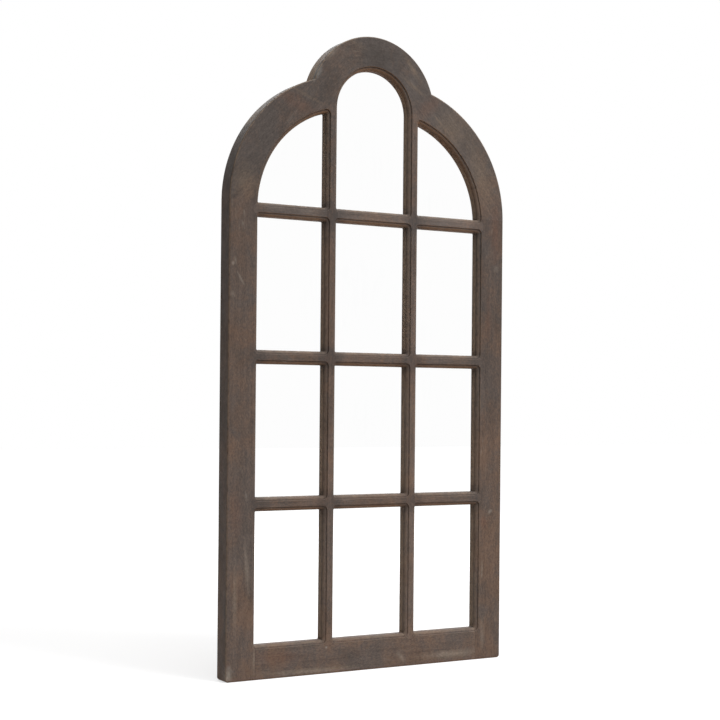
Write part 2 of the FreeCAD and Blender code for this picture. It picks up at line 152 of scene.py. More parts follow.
HEAD_MARKS = marks(
    TOP_Z,
    # Painted sheen: a pale glossy patch on the crown's left flank.
    (-0.125, -0.080, 0.010, 0.022, -24, "dust", 0.80),
    (-0.096, -0.043, 0.008, 0.024, -48, "scuff", 0.35),
    (-0.012, -0.034, 0.055, 0.024, 4, "dark_and_shade", 0.35),
    (-0.098, -0.100, 0.034, 0.060, 0, "dark_and_shade", 0.40),
    (-0.045, -0.016, 0.036, 0.008, -26, "worn_and_highlight", 0.18),
    (0.084, -0.050, 0.007, 0.044, 38, "worn_and_highlight", 0.34),
    (0.088, -0.086, 0.006, 0.036, 58, "worn_and_highlight", 0.30),
    (0.148, -0.148, 0.003, 0.026, 48, "worn_and_highlight", 0.28),
    (0.126, -0.120, 0.050, 0.020, 40, "red", 0.35),
    (-0.165, -0.147, 0.060, 0.020, -20, "red", 0.40),
    (-0.150, -0.128, 0.060, 0.004, -20, "worn_and_highlight", 0.22),
    (-0.229, -0.139, 0.026, 0.034, 40, "dark_and_shade", 0.30),
    (-0.276, -0.300, 0.030, 0.040, 0, "worn_and_highlight", 0.30),
    (0.179, -0.162, 0.050, 0.050, 45, "worn_and_highlight", 0.30),
    (0.247, -0.245, 0.030, 0.090, 20, "worn_and_highlight", 0.32),
    (0.286, -0.335, 0.018, 0.050, 0, "red", 0.40),
)
LEFT_STILE_MARKS = marks(
    FLOOR_Z,
    (-0.292, 0.771, 0.003, 0.012, 10, "scuff", 0.35),
    (-0.281, 0.739, 0.003, 0.018, 32, "scuff", 0.35),
    (-0.297, 0.710, 0.006, 0.008, 30, "scuff", 0.25),
    (-0.264, 0.860, 0.026, 0.040, 0, "grey", 0.45),
    (-0.287, 0.310, 0.018, 0.060, 0, "red", 0.30),
    (-0.267, 0.341, 0.003, 0.012, 6, "scuff", 0.30),
    (-0.264, 0.205, 0.005, 0.055, 4, "limed", 0.30),
    (-0.288, 0.150, 0.006, 0.070, 0, "limed", 0.25),
    (-0.300, 0.012, 0.010, 0.022, 0, "scuff", 0.55),
    (-0.248, 0.040, 0.003, 0.034, 0, "limed", 0.30),
)
RIGHT_STILE_MARKS = marks(
    FLOOR_Z,
    (0.288, 0.835, 0.018, 0.050, 0, "red", 0.40),
    (0.288, 0.787, 0.008, 0.009, 0, "scuff", 0.22),
    (0.289, 0.681, 0.010, 0.050, 0, "dark_and_shade", 0.35),
    (0.270, 0.683, 0.009, 0.055, 0, "red", 0.35),
    (0.252, 0.512, 0.002, 0.034, -2, "worn_and_highlight", 0.50),
    (0.279, 0.296, 0.007, 0.006, 40, "scuff", 0.50),
    (0.283, 0.291, 0.006, 0.005, 0, "dark_and_shade", 0.60),
    (0.265, 0.275, 0.012, 0.018, 0, "red", 0.50),
    (0.260, 0.179, 0.003, 0.022, 0, "limed", 0.35),
    (0.262, 0.050, 0.006, 0.040, 0, "limed", 0.25),
)
RAIL_MARKS = marks(
    FLOOR_Z,
    (-0.194, 0.038, 0.060, 0.018, 0, "red", 0.35),
    (-0.096, 0.050, 0.0035, 0.003, 0, "scuff", 0.70),
    (0.071, 0.019, 0.006, 0.016, 40, "limed", 0.30),
    (0.190, 0.016, 0.080, 0.010, 0, "limed", 0.35),
    (-0.130, 0.008, 0.110, 0.007, 0, "limed", 0.35),
)

# A hairline where two members meet: its middle, its turn from level in degrees, how far it
# reaches, the radius of a round one, and its width.
Joint = namedtuple("Joint", "x z turn reach radius width", defaults=(0.0, JOINT_WIDTH))


# ---- small helpers for node trees ----
class Graph:
    """Adds nodes to one tree and wires them up."""

    def __init__(self, tree):
        self.tree = tree

    def node(self, kind, inputs=None, **settings):
        made = self.tree.nodes.new(kind)
        for name, value in settings.items():
            setattr(made, name, value)
        for name, value in (inputs or {}).items():
            self.feed(made.inputs[name], value)
        return made

    def feed(self, socket, value):
        """Wire a socket to another one, or give it a number or colour."""
        if isinstance(value, bpy.types.NodeSocket):
            self.tree.links.new(value, socket)
        elif value is not None:
            socket.default_value = value

    def math(self, operation, *values, kind="ShaderNodeMath"):
        return self.node(kind, dict(enumerate(values)), operation=operation).outputs[0]

    def times(self, first, *others):
        for value in others:
            first = self.math("MULTIPLY", first, value)
        return first

    def sum(self, first, *others):
        for value in others:
            first = self.math("ADD", first, value)
        return first

    def minus(self, first, second):
        return self.math("SUBTRACT", first, second)

    def less(self, *factors):
        """One less the product of the factors."""
        return self.minus(1.0, self.times(*factors))

    def apart(self, first, second):
        return self.math("ABSOLUTE", self.minus(first, second))

    def vector(self, operation, *values):
        return self.math(operation, *values, kind="ShaderNodeVectorMath")

    def parts(self, vector):
        return self.node("ShaderNodeSeparateXYZ", {"Vector": vector}).outputs

    def rise(self, value, low, high, out_low=0.0, out_high=1.0):
        made = self.node(
            "ShaderNodeMapRange",
            {"Value": value, "From Min": low, "From Max": high,
             "To Min": out_low, "To Max": out_high},
            interpolation_type="SMOOTHSTEP",
        )
        return made.outputs["Result"]

    def fall(self, value, low, high):
        return self.rise(value, low, high, 1.0, 0.0)

    def noise(self, vector, name, seed):
        """Noise of one of the PATTERNS."""
        pattern = Pattern(*PATTERNS[name])
        made = self.node(
            "ShaderNodeTexNoise",
            {"Vector": self.stretched(vector, pattern.across, pattern.along), "W": seed,
             "Scale": 1.0, "Detail": pattern.detail, "Roughness": pattern.roughness,
             "Distortion": pattern.distortion},
            noise_dimensions="4D",
        )
        return made.outputs["Fac"]

    def stretched(self, vector, across, along):
        """Scale a vector so that a pattern repeats every `across` and `along` metres."""
        return self.vector("MULTIPLY", vector, (1 / across, 1 / across, 1 / along))

    def length(self, vector):
        return self.node("ShaderNodeVectorMath", {0: vector}, operation="LENGTH").outputs["Value"]

    def turned(self, vector, angle):
        return self.node(
            "ShaderNodeVectorRotate", {"Vector": vector, "Angle": angle}, rotation_type="Y_AXIS",
        ).outputs["Vector"]

    def here(self):
        return self.node("ShaderNodeTexCoord").outputs["Object"]

    def place(self, group, **inputs):
        """Put in one of the shared effects."""
        made = self.node("ShaderNodeGroup", node_tree=group())
        for name, value in inputs.items():
            self.feed(made.inputs[name], value)
        return made.outputs

    def mix(self, share, first, second, blend="MIX"):
        return self.node(
            "ShaderNodeMix", {0: share, 6: first, 7: second}, data_type="RGBA", blend_type=blend,
        ).outputs[2]

    def grey(self, value):
        """A number as a grey colour."""
        return self.node(
            "ShaderNodeCombineColor", {"Red": value, "Green": value, "Blue": value},
        ).outputs[0]


def colour(red, green, blue):
    """An sRGB colour of 0 to 255, as linear values with alpha."""
    linear = []
    for channel in (red, green, blue):
        share = channel / 255
        linear.append(share / 12.92 if share <= 0.04045 else ((share + 0.055) / 1.055) ** 2.4)
    return (*linear, 1.0)


def rgba(values):
    return (*values, 1.0)


WHITE = colour(255, 255, 255)
FLOOR_GREY = colour(188, 188, 188)
BEECH_LIGHT, BEECH_DARK = colour(205, 170, 128), colour(180, 142, 102)
BEECH_PORE = colour(140, 100, 66)
RUBBER_BLOOM = colour(96, 92, 88)


def shared_group(name, inputs, outputs, build):
    """Make a shader group once; `build` gets its graph and inputs and returns its outputs.

    An input without a starting value is a vector, any other is a number, and so are the outputs.
    """
    made = bpy.data.node_groups.get(name)
    if made:
        return made
    made = bpy.data.node_groups.new(name, "ShaderNodeTree")
    for label, start in inputs.items():
        kind = "NodeSocketVector" if start is None else "NodeSocketFloat"
        socket = made.interface.new_socket(name=label, in_out="INPUT", socket_type=kind)
        if start is not None:
            socket.default_value = start
    for label in outputs:
        made.interface.new_socket(name=label, in_out="OUTPUT", socket_type="NodeSocketFloat")
    graph = Graph(made)
    entry = graph.node("NodeGroupInput")
    leave = graph.node("NodeGroupOutput")
    for label, value in build(graph, entry.outputs).items():
        graph.feed(leave.inputs[label], value)
    return made


# ---- shared effects ----
def timber_grain():
    """Fibres, speckle, broad figure and open pores of timber whose grain runs along Z."""

    def build(graph, given):
        vector, seed = given["Vector"], given["Seed"]
        fibre, speckle, streak, swirl, dashes = (
            graph.noise(vector, name, seed)
            for name in ("fibre", "speckle", "streak", "swirl", "dashes")
        )
        flecks = graph.noise(vector, "flecks", graph.sum(seed, FLECK_SEED_STEP))
        rings = graph.math("SINE", graph.times(swirl, RING_WAVES))
        crowd = graph.rise(streak, 0.35, 0.65, 0.3, 1.0)
        pore = graph.times(graph.rise(dashes, 0.60, 0.74), crowd)
        fine = graph.sum(graph.times(fibre, 0.6), graph.times(speckle, 0.35))
        return {
            "Fibre": fibre, "Speckle": speckle, "Streak": streak,
            "Figure": graph.rise(rings, -1.0, 1.0), "Pore": pore,
            "Limed": graph.rise(flecks, 0.55, 0.76),
            "Relief": graph.minus(fine, graph.times(pore, 0.8)),
        }

    return shared_group(
        "Timber grain", {"Vector": None, "Seed": 0.0},
        ("Fibre", "Speckle", "Streak", "Figure", "Pore", "Limed", "Relief"), build,
    )


def stain_clouds():
    """Uneven take-up of a wiped stain, as three masks."""

    def build(graph, given):
        vector, seed = given["Vector"], given["Seed"]
        deep_seed = graph.sum(seed, DEEP_SEED_STEP)
        return {
            "Warm": graph.rise(graph.noise(vector, "broad cloud", seed), 0.36, 0.66),
            "Haze": graph.rise(graph.noise(vector, "fine cloud", seed), 0.34, 0.68),
            "Dark": graph.rise(graph.noise(vector, "deep cloud", deep_seed), 0.46, 0.70),
        }

    return shared_group(
        "Stain clouds", {"Vector": None, "Seed": 0.0}, ("Warm", "Haze", "Dark"), build,
    )


def placed_patch():
    """One ragged patch: full at its middle and gone outside its reach."""

    def build(graph, given):
        apart = graph.vector("SUBTRACT", given["Vector"], given["Middle"])
        turned = graph.turned(apart, given["Lean"])
        far = graph.length(graph.vector("DIVIDE", turned, given["Reach"]))
        ragged = graph.sum(far, graph.times(given["Wander"], 1.6))
        return {"Mask": graph.fall(ragged, 0.75, 2.0)}

    return shared_group(
        "Placed patch",
        {"Vector": None, "Middle": None, "Reach": None, "Lean": 0.0, "Wander": 0.5},
        ("Mask",), build,
    )


def hairline():
    """A faint, broken line on a plane through a point, or on a circle round it."""

    def build(graph, given):
        apart = graph.vector("SUBTRACT", given["Vector"], given["Middle"])
        flat = graph.vector("MULTIPLY", apart, (1.0, 0.0, 1.0))
        far = graph.length(flat)
        off_line = graph.math("ABSOLUTE", graph.parts(graph.turned(flat, given["Turn"]))["Z"])
        off_circle = graph.apart(far, given["Radius"])
        is_round = graph.math("GREATER_THAN", given["Radius"], 0.0)
        off = graph.node(
            "ShaderNodeMix", {0: is_round, 2: off_line, 3: off_circle}, data_type="FLOAT",
        ).outputs[0]
        line = graph.fall(off, graph.times(given["Width"], 0.25), given["Width"])
        near = graph.fall(far, given["Reach"], graph.times(given["Reach"], JOINT_OVERRUN))
        broken = graph.rise(given["Wander"], 0.30, 0.55, 0.25, 1.0)
        return {"Mask": graph.times(line, near, broken)}

    return shared_group(
        "Joint hairline",
        {"Vector": None, "Middle": None, "Turn": 0.0, "Reach": 0.05, "Radius": 0.0,
         "Width": JOINT_WIDTH, "Wander": 0.5},
        ("Mask",), build,
    )


def painted_corner_shade():
    """Painted shade in the corners of the lights, round each crossing of the bars."""

    def build(graph, given):
        place = graph.parts(given["Vector"])
        across = graph.math("ABSOLUTE", place["X"])

        def near(position, low, high, reach, most=1.0):
            """Full between two edges, and gone at the reach from their middle."""
            off = graph.apart(position, (low + high) / 2)
            return graph.rise(off, (high - low) / 2, reach, most, 0.0)

        low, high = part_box("right_muntin")
        near_upright = near(across, low.x, high.x, UPRIGHT_SHADE_REACH)
        near_stile = near(across, SIGHT_X, SIGHT_X, SIGHT_SHADE_REACH, 0.8)
        near_bar = 0.0
        for bar in CROSS_BARS:
            low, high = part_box(bar)
            beside = near(place["Z"], low.z, high.z, BAR_SHADE_REACH)
            near_bar = graph.math("MAXIMUM", near_bar, beside)
        ragged = graph.rise(given["Wander"], 0.25, 0.60, 0.5, 1.0)
        near_edge = graph.math("MAXIMUM", near_upright, near_stile)
        return {"Mask": graph.times(near_edge, near_bar, ragged)}

    return shared_group("Corner grime", {"Vector": None, "Wander": 0.5}, ("Mask",), build)


def worn_edges():
    """Rubbed roundings: where the surface turns from the face into a side."""

    def build(graph, given):
        turn = graph.math("ABSOLUTE", graph.parts(given["Normal"])["Y"])
        rising = graph.rise(turn, 0.05, 0.45)
        falling = graph.fall(turn, 0.80, 0.995)
        rubbed = graph.rise(graph.noise(given["Vector"], "wear", 3.0), 0.30, 0.62)
        return {"Mask": graph.times(rising, falling, rubbed, given["Amount"])}

    return shared_group(
        "Worn edges", {"Normal": None, "Vector": None, "Amount": 1.0}, ("Mask",), build,
    )


def scuffs():
    """Pale rubs along one direction, and a few small nicks."""

    def build(graph, given):
        vector, amount = given["Vector"], given["Amount"]
        patch = graph.rise(graph.noise(vector, "rub patch", 8.0), 0.56, 0.72)
        lines = graph.rise(graph.noise(vector, "rub lines", 5.0), 0.50, 0.70)
        cells = graph.node(
            "ShaderNodeTexVoronoi",
            {"Vector": graph.stretched(vector, *NICK_CELL), "Scale": 1.0},
        )
        chosen = graph.rise(graph.parts(cells.outputs["Color"])["X"], 0.70, 0.72)
        spot = graph.fall(cells.outputs["Distance"], 0.02, 0.06)
        return {"Rub": graph.times(patch, lines, amount),
                "Nick": graph.times(spot, chosen, amount)}

    return shared_group(
        "Scuffs and nicks", {"Vector": None, "Amount": 1.0}, ("Rub", "Nick"), build,
    )


def lie_of_surface():
    """Which way a surface lies, and whether it is a bead, a wall by the glass or an outer side."""

    def build(graph, given):
        lie = graph.parts(given["Normal"])
        place = graph.parts(given["Vector"])
        uneven = graph.rise(graph.noise(given["Vector"], "grit", 1.0), 0.25, 0.75, 0.5, 1.0)
        above = graph.rise(lie["Z"], 0.15, 0.95)
        below = graph.rise(graph.times(lie["Z"], -1.0), 0.03, 0.55)
        sideways = graph.math("ABSOLUTE", lie["X"])
        flank = graph.rise(sideways, 0.55, 0.98)
        slanted = graph.rise(sideways, 0.10, 0.45)
        depth = graph.minus(place["Y"], FRONT_Y)
        on_bead = graph.times(
            graph.rise(depth, *BEAD_START), graph.fall(depth, *BEAD_END),
        )
        by_glass = graph.rise(depth, *GLASS_WALL)
        inner = graph.fall(
            graph.math("ABSOLUTE", place["X"]), *(SIGHT_X + margin for margin in INNER_MARGIN),
        )
        return {
            "Above": graph.times(above, uneven),
            "Below": graph.times(below, uneven),
            # Walls by the glass, which get a painted highlight.
            "Wall": graph.times(flank, inner, uneven, by_glass),
            "Bead": graph.times(slanted, on_bead, inner),
            # Outer sides, which get painted shade.
            "Side": graph.times(flank, graph.less(inner)),
        }

    return shared_group(
        "Lie of the surface", {"Normal": None, "Vector": None},
        ("Above", "Below", "Wall", "Bead", "Side"), build,
    )


# ---- materials ----
def emptied(owner):
    """The graph of a material or a world, cleared of the nodes it starts with."""
    owner.use_nodes = True
    owner.node_tree.nodes.clear()
    return Graph(owner.node_tree)


def new_material(name, **constants):
    """A material with a Principled shader; constants go on its own sockets."""
    material = bpy.data.materials.new(name)
    graph = emptied(material)
    shader = graph.node("ShaderNodeBsdfPrincipled")
    graph.node("ShaderNodeOutputMaterial", {"Surface": shader.outputs["BSDF"]})
    for label, value in constants.items():
        shader.inputs[label.replace("_", " ")].default_value = value
    return material, graph, shader.inputs


def paint(graph, shader, base, roughness, height=None, depth=0.0):
    """Feed a surface its colour, its roughness and a relief whose full range is `depth` metres."""
    graph.feed(shader["Base Color"], base)
    graph.feed(shader["Roughness"], roughness)
    if height is not None:
        bump = graph.node("ShaderNodeBump", {"Height": height, "Distance": depth})
        graph.feed(shader["Normal"], bump.outputs["Normal"])


def stained_timber(name, turn, seed, tone, warmth=0.0, limed=0.30, uneven=1.0, marks=(),
                   joints=()):
    """Wiped brown-grey stain on timber whose grain is turned from upright, about Y."""
    finish = bpy.context.scene.mirror_timber
    material, graph, shader = new_material(
        name, Specular_IOR_Level=finish.gloss, Coat_Roughness=0.4,
    )
    place = graph.node("ShaderNodeTexCoord").outputs
    here, normal = place["Object"], place["Normal"]
    along = graph.node(
        "ShaderNodeMapping", {"Vector": here, "Rotation": (0.0, turn, 0.0)},
    ).outputs["Vector"]
    up = graph.minus(graph.parts(here)["Z"], FLOOR_Z)
    wander = graph.noise(here, "wander", finish.cloud_seed)

    grain = graph.place(timber_grain, Vector=along, Seed=seed)
    cloud = graph.place(stain_clouds, Vector=here, Seed=finish.cloud_seed)
    edge = graph.place(
        worn_edges, Normal=normal, Vector=along, Amount=finish.edge_wear,
    )["Mask"]
    mark = graph.place(scuffs, Vector=along, Amount=finish.scuffs)
    lie = graph.place(lie_of_surface, Normal=normal, Vector=here)
    grime = graph.place(painted_corner_shade, Vector=here, Wander=wander)["Mask"]

    def stain_over(under, mask, strength, pigment):
        tint = rgba(getattr(finish, pigment + "_stain"))
        return graph.mix(graph.times(mask, strength), under, tint)

    # The stain itself: grey and warm clouds, then the placed patches.
    mottle = graph.times(graph.minus(grain["Speckle"], 0.5), 1.4 * uneven)
    faded = graph.rise(up, WARM_HEIGHT, HEAD_HEIGHT, 0.0, 0.35)
    warm = graph.minus(graph.sum(cloud["Warm"], warmth, mottle), faded)
    warm = graph.math("MINIMUM", graph.math("MAXIMUM", warm, 0.0), 1.0)
    stain = graph.mix(warm, rgba(finish.grey_stain), rgba(finish.warm_stain))
    stain = stain_over(stain, cloud["Haze"], 0.30 * uneven, "grey")
    stain = stain_over(stain, cloud["Dark"], 0.40, "dark_and_shade")
    for patch in marks:
        mask = graph.place(
            placed_patch, Vector=here, Wander=wander, Middle=(patch.x, FRONT_Y, patch.z),
            Reach=(patch.wide, finish.patch_depth, patch.high), Lean=math.radians(patch.lean),
        )["Mask"]
        stain = stain_over(stain, mask, patch.strength, patch.stain)

    # Lighter and darker grain, about a mean of one, and the fade from foot to head.
    weights = {"Speckle": 1.15, "Fibre": 0.40, "Streak": 0.40 * uneven, "Figure": 0.08}
    level = graph.sum(
        1.0 - sum(weights.values()) / 2,
        *(graph.times(grain[part], weight) for part, weight in weights.items()),
    )
    fade = graph.rise(up, 0.0, HEAD_HEIGHT, finish.foot_tone, finish.head_tone)
    stain = graph.mix(1.0, stain, graph.grey(graph.times(level, tone, fade)), "MULTIPLY")

    # What lies on the stain, from the pores outwards.
    near_foot = graph.rise(up, 0.0, finish.foot_wear, 1.0, 0.35)
    dust_and_light_share = graph.rise(up, SPRINGING_Z - FLOOR_Z, TOP_Z - FLOOR_Z - DUST_AND_LIGHT_DROP, 0.3, 1.0)
    # Upward faces below the head, which get a painted cool top light.
    painted_cool_top_light = graph.times(lie["Above"], graph.less(dust_and_light_share))
    rubbed = graph.times(
        edge, graph.less(lie["Below"], 0.8), graph.less(lie["Bead"], 0.3),
        graph.less(painted_cool_top_light, 0.9),
    )
    for mask, strength, pigment in (
        (grain["Pore"], 0.30, "dark_and_shade"),
        (graph.times(grain["Limed"], near_foot), limed, "limed"),
        # Painted warm bounce light on the undersides, lighter than the shade they get.
        (lie["Below"], finish.below, "under"),
        # Painted shade on the outer sides.
        (lie["Side"], finish.side, "dark_and_shade"),
        # Painted highlight on the walls by the glass.
        (lie["Wall"], finish.wall, "worn_and_highlight"),
        # Dusting on upward faces, with painted top light.
        (graph.times(lie["Above"], dust_and_light_share), finish.dust, "dust"),
        # Painted cool top light, in grey, on upward faces below the head.
        (painted_cool_top_light, 0.60, "grey"),
        (rubbed, 1.0, "worn_and_highlight"),
        # The beads beside the uprights are made darker.
        (lie["Bead"], finish.bead, "dark_and_shade"),
        (mark["Rub"], 0.40, "scuff"),
        (mark["Nick"], 0.60, "scuff"),
        # Painted shade round the crossings of the bars.
        (grime, finish.grime, "grime"),
    ):
        stain = stain_over(stain, mask, strength, pigment)
    for joint in joints:
        mask = graph.place(
            hairline, Vector=here, Wander=wander, Middle=(joint.x, FRONT_Y, joint.z),
            Turn=math.radians(joint.turn), Reach=joint.reach, Radius=joint.radius,
            Width=joint.width,
        )["Mask"]
        stain = stain_over(stain, mask, finish.joint_line, "dark_and_shade")

    rough = graph.sum(
        finish.roughness, graph.times(cloud["Haze"], 0.10), graph.times(grain["Pore"], 0.12),
    )
    rough = graph.minus(rough, graph.times(edge, 0.08))
    graph.feed(shader["Coat Weight"], graph.times(graph.less(cloud["Haze"]), 0.04))
    height = graph.sum(grain["Relief"], graph.times(cloud["Haze"], 0.5))
    height = graph.minus(height, graph.times(mark["Nick"], 2.0))
    paint(graph, shader, stain, rough, height, finish.grain_depth)
    return material


def silvered_glass(name):
    """Mirror plate: a silvered surface with a breath of haze and a few smears."""
    finish = bpy.context.scene.mirror_plate
    material, graph, shader = new_material(name, Metallic=1.0)
    here = graph.here()
    haze = graph.rise(graph.noise(here, "glass haze", 2.0), 0.45, 0.75)
    smear = graph.rise(graph.noise(here, "glass smear", 6.0), 0.40, 0.75)
    film = graph.times(haze, smear)
    tint = graph.times(film, finish.film)
    silver = graph.mix(tint, rgba(finish.silver), rgba(finish.film_colour))
    paint(graph, shader, silver, graph.rise(film, 0.0, 1.0, 0.004, 0.03))
    return material


def hardboard(name):
    """Pressed brown fibreboard with the mesh print of its rough side."""
    finish = bpy.context.scene.mirror_backing
    material, graph, shader = new_material(name, Specular_IOR_Level=0.3)
    here = graph.here()
    fibres = graph.noise(here, "board fibres", 4.0)
    mottle = graph.rise(graph.noise(here, "board mottle", 7.0), 0.3, 0.75, 0.05, 0.45)
    flecks = graph.rise(graph.noise(here, "board flecks", 9.0), 0.66, 0.74)
    board = graph.mix(mottle, rgba(finish.board), rgba(finish.board_dark_and_shade))
    board = graph.mix(graph.times(fibres, 0.35), board, rgba(finish.board_dark_and_shade))
    board = graph.mix(graph.times(flecks, 0.5), board, rgba(finish.board_fleck))
    wave = 2 * math.pi / finish.mesh_pitch
    place = graph.parts(here)
    across, along = (graph.math("SINE", graph.times(place[axis], wave)) for axis in "XZ")
    mesh = graph.math("MAXIMUM", across, along)
    height = graph.sum(graph.times(mesh, 0.4), graph.times(fibres, 0.8))
    rough = graph.rise(fibres, 0.2, 0.8, 0.62, 0.82)
    paint(graph, shader, board, rough, height, BOARD_RELIEF)
    return material


def plated_steel(name, base, shade, roughness, brushed, relief):
    """Zinc or nickel plating with crystal mottling, hairlines and a little tarnish."""
    material, graph, shader = new_material(name, Metallic=1.0)
    here = graph.here()
    crystals = graph.rise(graph.noise(here, "crystals", 1.0), 0.35, 0.65)
    tarnish = graph.rise(graph.noise(here, "tarnish", 3.0), 0.48, 0.72)
    hairs = graph.noise(here, "hairs", 5.0)
    metal = graph.mix(crystals, rgba(base), rgba(shade))
    metal = graph.mix(graph.times(tarnish, 0.45), metal, rgba([value * 0.5 for value in shade]))
    rough = graph.sum(roughness, graph.times(hairs, brushed), graph.times(tarnish, 0.18))
    paint(graph, shader, metal, rough, hairs, relief)
    return material


def beech(name):
    """Pale fluted-dowel wood with the short flecks of beech."""
    material, graph, shader = new_material(name, Specular_IOR_Level=0.3)
    grain = graph.place(timber_grain, Vector=graph.here(), Seed=11.0)
    wood = graph.mix(grain["Streak"], BEECH_LIGHT, BEECH_DARK)
    wood = graph.mix(graph.times(grain["Pore"], 0.5), wood, BEECH_PORE)
    rough = graph.rise(grain["Fibre"], 0.2, 0.8, 0.5, 0.65)
    paint(graph, shader, wood, rough, grain["Relief"], BEECH_RELIEF)
    return material


def buffer_rubber(name):
    """Moulded rubber with a fine grain and a light dusting."""
    finish = bpy.context.scene.mirror_hardware
    material, graph, shader = new_material(name, Specular_IOR_Level=0.35)
    here = graph.here()
    skin = graph.noise(here, "rubber skin", 2.0)
    bloom = graph.rise(graph.noise(here, "rubber bloom", 4.0), 0.42, 0.7)
    rubber = graph.mix(graph.times(bloom, 0.5), rgba(finish.rubber), RUBBER_BLOOM)
    rough = graph.rise(bloom, 0.0, 1.0, 0.55, 0.8)
    paint(graph, shader, rubber, rough, skin, RUBBER_RELIEF)
    return material


def coat(piece, material):
    """Give a piece one finish, in place of any it had."""
    piece.data.materials.clear()
    piece.data.materials.append(material)


def dress(node, material):
    coat(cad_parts[node], material)


# ---- modelling helpers ----
def deselect_all():
    if bpy.context.object and bpy.context.object.mode != "OBJECT":
        bpy.ops.object.mode_set(mode="OBJECT")
    bpy.ops.object.select_all(action="DESELECT")


def make_active(piece):
    deselect_all()
    piece.select_set(True)
    bpy.context.view_layer.objects.active = piece


def pick_faces(piece, wanted):
    """In edit mode, select only the faces that `wanted` accepts."""
    bpy.ops.object.mode_set(mode="EDIT")
    bpy.ops.mesh.select_mode(type="FACE")
    bpy.ops.mesh.select_all(action="DESELECT")
    bpy.ops.object.mode_set(mode="OBJECT")
    for face in piece.data.polygons:
        face.select = wanted(face)
    bpy.ops.object.mode_set(mode="EDIT")


def round_edges(piece, width, segments, angle):
    """Bevel every edge sharper than the angle, for good."""
    bevel = piece.modifiers.new("rounding", "BEVEL")
    bevel.width = width
    bevel.segments = segments
    bevel.limit_method = "ANGLE"
    bevel.angle_limit = angle
    bevel.use_clamp_overlap = False
    bpy.ops.object.modifier_apply(modifier=bevel.name)


def settle(piece, name, material, node):
    """Put a modelled piece's place in its mesh, name it and let it stand for its node."""
    make_active(piece)
    bpy.ops.object.transform_apply(location=True, rotation=True, scale=True)
    bpy.ops.object.shade_smooth_by_angle(angle=SMOOTH_BELOW)
    piece.name = name
    piece.data.name = name
    coat(piece, material)
    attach(piece, BODY)
    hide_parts(node)


def model_buffer(side, material):
    """A rubber buffer: a foot flange, a tapered body and a dished, rounded face."""
    size = bpy.context.scene.mirror_hardware
    low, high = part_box("wall_bumpers")
    radius = (high.z - low.z) / 2
    height = high.y - low.y
    x = (high.x - radius) * (1 if side == "right" else -1)
    deselect_all()
    bpy.ops.mesh.primitive_cylinder_add(
        vertices=BUFFER_SIDES,
        radius=radius,
        depth=size.flange,
        location=(x, low.y + size.flange / 2, (low.z + high.z) / 2),
        rotation=(-math.pi / 2, 0.0, 0.0),
    )
    piece = bpy.context.object
    bpy.ops.object.transform_apply(location=True, rotation=True, scale=True)

    def outer_face(face):
        return face.normal.y > 0 and len(face.vertices) == BUFFER_SIDES

    rise = height - size.flange
    pick_faces(piece, outer_face)
    bpy.ops.mesh.inset(thickness=size.flange_step, depth=0.0)
    bpy.ops.mesh.extrude_region_move(TRANSFORM_OT_translate={"value": (0.0, rise, 0.0)})
    shrink = size.face_radius / (radius - size.flange_step)
    bpy.ops.transform.resize(value=(shrink, 1.0, shrink))
    bpy.ops.mesh.inset(thickness=size.rim, depth=0.0)
    bpy.ops.mesh.inset(thickness=size.rim / 2, depth=-size.dish)
    bpy.ops.object.mode_set(mode="OBJECT")
    round_edges(piece, size.rounding, segments=3, angle=BUFFER_ROUND_ABOVE)
    settle(piece, side + "_wall_buffer", material, "wall_bumpers")


def softened_copy(node, name, width, material):
    """A hidden node's shape again, with its sharp edges broken as on the real piece."""
    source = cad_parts[node]
    piece = source.copy()
    piece.data = source.data.copy()
    for key in list(piece.keys()):
        del piece[key]
    piece.parent = None
    bpy.context.scene.collection.objects.link(piece)
    make_active(piece)
    bpy.ops.mesh.customdata_custom_splitnormals_clear()
    bpy.ops.object.mode_set(mode="EDIT")
    bpy.ops.mesh.select_all(action="SELECT")
    bpy.ops.mesh.remove_doubles(threshold=WELD_WITHIN)
    bpy.ops.mesh.dissolve_limited(angle_limit=FLAT_WITHIN)
    bpy.ops.object.mode_set(mode="OBJECT")
    round_edges(piece, width, segments=2, angle=ROUND_ABOVE)
    settle(piece, name, material, node)


# ---- settings ----
def finish_colour(label, words, red, green, blue):
    return FloatVectorProperty(
        name=label, description=words, subtype="COLOR", size=3, min=0.0, max=1.0,
        default=colour(red, green, blue)[:3],
    )


def share(label, words, start, highest=1.0):
    return FloatProperty(name=label, description=words, default=start, min=0.0, max=highest)


def length(label, words, start):
    return FloatProperty(
        name=label, description=words, default=start, min=0.0, unit="LENGTH", precision=5,
    )


def power(label, words, start):
    return FloatProperty(name=label, description=words, default=start, unit="POWER")


def angle(label, words, start):
    return FloatProperty(name=label, description=words, default=start, subtype="ANGLE")


